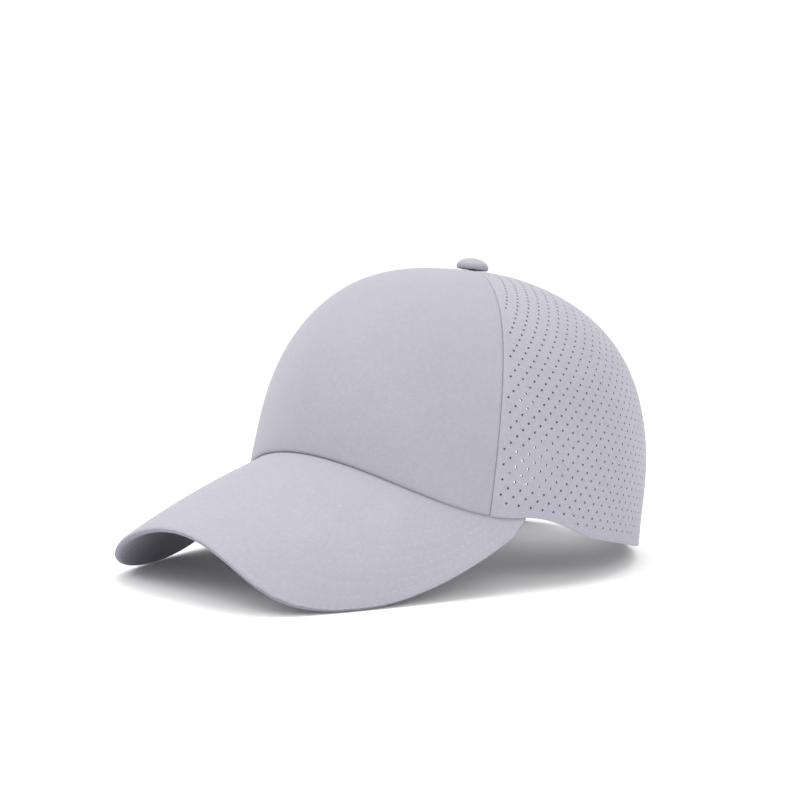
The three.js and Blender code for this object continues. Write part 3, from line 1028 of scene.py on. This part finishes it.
def button_profile():
    plate_top = -front_wall - clearance
    points = [
        (0, plate_top - plate_thickness),
        (plate_radius - 0.3, plate_top - plate_thickness),
        (plate_radius, plate_top - plate_thickness + 0.3),
        (plate_radius, plate_top - 0.2),
        (plate_radius - 0.2, plate_top),
        (post_radius, plate_top),
        (post_radius, clearance),
        (button_radius * 0.8, clearance),
        (button_radius - 0.5, clearance + 0.15),
    ]
    dome = button_height - button_lip
    for step in np.linspace(-0.3, math.pi / 2, 15):
        points.append((button_radius * math.cos(step), clearance + button_lip + dome * math.sin(step)))
    return points


def button_mesh():
    bm = bmesh.new()
    chain = [bm.verts.new((max(out, 0), 0, height)) for out, height in button_profile()]
    edges = [bm.edges.new(pair) for pair in zip(chain, chain[1:])]
    bmesh.ops.spin(
        bm,
        geom=chain + edges,
        cent=(0, 0, 0),
        axis=(0, 0, 1),
        angle=2 * math.pi,
        steps=88,
        use_merge=True,
    )
    bmesh.ops.remove_doubles(bm, verts=bm.verts[:], dist=1e-4)
    layer = bm.loops.layers.uv.new("cloth")
    for face in bm.faces:
        for loop in face.loops:
            loop[layer].uv = (loop.vert.co.x * mm, loop.vert.co.y * mm)
    for vertex in bm.verts:
        out = math.hypot(vertex.co.x, vertex.co.y)
        foot = max(0, 1 - (vertex.co.z - clearance) / 2.6) if vertex.co.z >= clearance else 0
        if out > button_radius * 0.7:
            press = 0.22 * foot * (1 + math.cos(puckers * math.atan2(vertex.co.y, vertex.co.x)))
            vertex.co.x *= 1 - press / out
            vertex.co.y *= 1 - press / out
    bmesh.ops.recalc_face_normals(bm, faces=bm.faces[:])
    lean = Matrix.Rotation(-math.atan(crown_slope), 4, "X")
    bmesh.ops.transform(bm, matrix=Matrix.Translation((0, 0, crown_height)) @ lean, verts=bm.verts[:])
    for vertex in bm.verts:
        vertex.co = at_rest(np.array(vertex.co))
    mesh = bpy.data.meshes.new("top_button_cloth")
    bm.to_mesh(mesh)
    bm.free()
    mesh.shade_smooth()
    return mesh


show(button_mesh(), button_cloth, "button_cloth", "top_button")

# %% [markdown]
# ## Elastic straps
# Two straps cross in the opening, one over the other, and their ends are tucked under the panels.
# They are flat bands that follow the crown's curve, so each is laid on the crown's formula a little
# below the panels. The band at the nape is wider at its ends and gathered by its own pull, which
# shows as fine upright folds.

# %% Strap layout
strap_thickness = 1.2
strap_width = 16
strap_slope = math.radians(28.8)
strap_tuck = 10
strap_gap = 0.45
cross_height = 50.9
cross_bow = 0.9


def back_grid(side, height):
    """The crown's points and outward directions at distances from the middle, seen from behind."""
    turn = turn_at_side(lambda at: climb_at_height(at, height), np.abs(side))
    climb = climb_at_height(turn, height)
    flip = np.where(side < 0, -1.0, 1.0)[..., None] * (1, 0, 0) + np.array((0, 1, 1))
    return crown_face(turn, climb) * flip, crown_outward(turn, climb) * flip


def strap_reach(slope):
    side = np.array(float(opening_half_width))
    for _ in range(60):
        height = cross_height + side * math.tan(slope)
        side = opening_half_at(climb_at_height(math.pi, height))
    return float(side) + strap_tuck * math.cos(slope)


# Distances from a band's border to the grid lines that round it, in millimetres
band_fine_steps = (0.15, 0.35, 0.6, 1)


def band_mesh(name, side, height, depth):
    """A band of elastic between two depths, with rounded borders."""
    flat, outward = back_grid(side, height)
    across, along = lengths_along(flat, 0), lengths_along(flat, 1)
    border = np.minimum(np.minimum(across, across[-1:] - across), np.minimum(along, along[:, -1:] - along))
    round_in = curl(border, 0.6, strap_thickness / 2)
    round_in = np.where(border < 1e-6, strap_thickness / 2, round_in)
    outer = at_rest(flat - outward * (depth + round_in)[..., None])
    inner = at_rest(flat - outward * (depth + strap_thickness - round_in)[..., None])
    mesh = sheet_mesh(name, outer, inner, np.stack([along, across], -1) * mm)
    turn_outward(mesh)
    return mesh


def cross_strap(name, mirror, extra_bow):
    upper, lower = strap_reach(strap_slope), strap_reach(-strap_slope)
    crossing = strap_width / 2 / math.sin(strap_slope)
    side = (-lower + (upper + lower) * even_with_fine_ends(70, 95, band_fine_steps))[None, :]
    offset = strap_width * (even_with_fine_ends(12, 16, band_fine_steps)[:, None] - 0.5)
    bow = (cross_bow + extra_bow) * (1 - ease(np.abs(side), crossing, lower))
    height = cross_height + side * math.tan(strap_slope) + offset * math.cos(strap_slope)
    edge = (side - offset * math.sin(strap_slope)) * mirror
    depth = side_wall + strap_gap + bow + 0 * offset
    return band_mesh(name, edge, height, depth)


# %% Crossed straps
show(cross_strap("cross_strap_outer_elastic", 1, 0), elastic, "strap_elastic", "cross_strap_outer")
show(
    cross_strap("cross_strap_inner_elastic", -1, strap_thickness + clearance),
    elastic,
    "strap_elastic",
    "cross_strap_inner",
)

# %% Nape band
nape_end_top = 5.8
nape_narrowing = 3
nape_lift = 6.2
rim_inset = 0.8
fold_pitch = 3.4


def nape_band():
    reach = opening_half_width + strap_tuck
    side = (-reach + 2 * reach * even_with_fine_ends(190, 95, band_fine_steps))[None, :]
    middle = np.cos(math.pi / 2 * np.minimum(np.abs(side) / opening_half_width, 1)) ** 2
    rim = rim_height(turn_at_side(lambda turn: 0 * turn, np.abs(side)))
    low = rim + rim_inset + nape_lift * middle
    high = nape_end_top - nape_narrowing * middle
    share = even_with_fine_ends(10, 16, band_fine_steps)[:, None]
    height = low + (high - low) * share
    open_part = 1 - ease(np.abs(side), opening_half_width - 4, opening_half_width)
    folds = 0.14 * (1 + np.cos(2 * math.pi * side / fold_pitch + 3 * share)) * open_part
    depth = side_wall + strap_gap + folds
    return band_mesh("nape_strap_elastic", side + 0 * share, height, depth)


show(nape_band(), elastic, "strap_elastic", "nape_strap")

# %% [markdown]
# ## Stitches onto the cap
# The stitch rows gathered so far become two pieces, one on the brim and one on the hems.

# %% Stitch pieces
for name, bm in stitch_rows.items():
    mesh = bpy.data.meshes.new(name)
    bm.to_mesh(mesh)
    bm.free()
    mesh.shade_smooth()
    show(mesh, thread, "brim_cloth" if name == "brim_stitches" else "perforated_cloth")

# %% [markdown]
# ## Floor and light
# A pale sweep, flat under the cap and curved up behind it, gives an even ground without a horizon.
# Large soft lights from above and from the front leave faint shadows only.

# %% Floor


def pale_sweep():
    bm = bmesh.new()
    profile = [(-4.0, 0.0), (2.2, 0.0)]
    for step in np.linspace(0, math.pi / 2, 17)[1:]:
        profile.append((2.2 + 1.2 * math.sin(step), 1.2 * (1 - math.cos(step))))
    profile.append((3.4, 4.5))
    chain = [bm.verts.new((-6, along, up)) for along, up in profile]
    edges = [bm.edges.new(pair) for pair in zip(chain, chain[1:])]
    swept = bmesh.ops.extrude_edge_only(bm, edges=edges)["geom"]
    moved = [part for part in swept if isinstance(part, bmesh.types.BMVert)]
    bmesh.ops.translate(bm, verts=moved, vec=(12, 0, 0))
    bmesh.ops.recalc_face_normals(bm, faces=bm.faces[:])
    if max(bm.faces, key=lambda face: face.calc_area()).normal.z < 0:
        bmesh.ops.reverse_faces(bm, faces=bm.faces[:])
    mesh = bpy.data.meshes.new("floor")
    bm.to_mesh(mesh)
    bm.free()
    mesh.shade_smooth()
    floor = bpy.data.objects.new("floor", mesh)
    bpy.context.scene.collection.objects.link(floor)
    turn = Matrix.Rotation(math.radians(40), 4, "Z")
    mesh.transform(turn)
    return floor


paper = new_material("matt_white_paper")
surface = add(
    paper.node_tree,
    "ShaderNodeBsdfPrincipled",
    {"Base Color": linear("#fbfbfb"), "Roughness": 0.95, "Specular IOR Level": 0.1},
)
add(paper.node_tree, "ShaderNodeOutputMaterial", {"Surface": surface.outputs["BSDF"]})
floor = pale_sweep()
floor.data.materials.append(paper)

# %% Lights
scene = bpy.context.scene
scene.view_settings.view_transform = "Standard"
scene.world = bpy.data.worlds.new("studio")
scene.world.use_nodes = True
backdrop = scene.world.node_tree.nodes["Background"]
backdrop.inputs["Color"].default_value = linear("#ffffff")
backdrop.inputs["Strength"].default_value = 0.88


def soft_light(name, place, size, power):
    lamp = bpy.data.lights.new(name, "AREA")
    lamp.shape, lamp.size, lamp.energy = "SQUARE", size, power
    light = bpy.data.objects.new(name, lamp)
    light.location = place
    light.rotation_euler = (Vector((0, 0, 0.06)) - Vector(place)).to_track_quat("-Z", "Y").to_euler()
    scene.collection.objects.link(light)


soft_light("key", (-0.7, -1.5, 1.6), 1.4, 17)
soft_light("top", (-0.2, 0.2, 2.3), 1.6, 26)
soft_light("fill", (1.5, -0.6, 1.1), 1.4, 8)

# %% [markdown]
# ## Camera
# The camera looks at the left front of the cap from a little above the floor, at the height of the
# button. It stands close enough to show some perspective, and it is rolled by two degrees.

# %% Camera
eye = Vector((0.58691, -0.65814, 0.17971))
turn_round, look_down, roll = math.radians(40.9961), math.radians(7.1246), math.radians(2.388)
focal_pixels, centre_x, centre_y, frame_pixels = 1984.5, 423.36, 407.9, 800

camera_data = bpy.data.cameras.new("camera")
camera = bpy.data.objects.new("camera", camera_data)
scene.collection.objects.link(camera)
back = Vector((
    math.sin(turn_round) * math.cos(look_down),
    -math.cos(turn_round) * math.cos(look_down),
    math.sin(look_down),
))
level = Vector((math.cos(turn_round), math.sin(turn_round), 0))
upright = back.cross(level)
right = level * math.cos(roll) + upright * math.sin(roll)
above = back.cross(right)
camera.rotation_euler = Matrix((right, above, back)).transposed().to_euler()
camera.location = eye
camera_data.sensor_width = 36
camera_data.lens = 36 * focal_pixels / frame_pixels
camera_data.shift_x = (frame_pixels / 2 - centre_x) / frame_pixels
camera_data.shift_y = (centre_y - frame_pixels / 2) / frame_pixels
scene.camera = camera
print("lens:", round(camera_data.lens, 2), "mm")
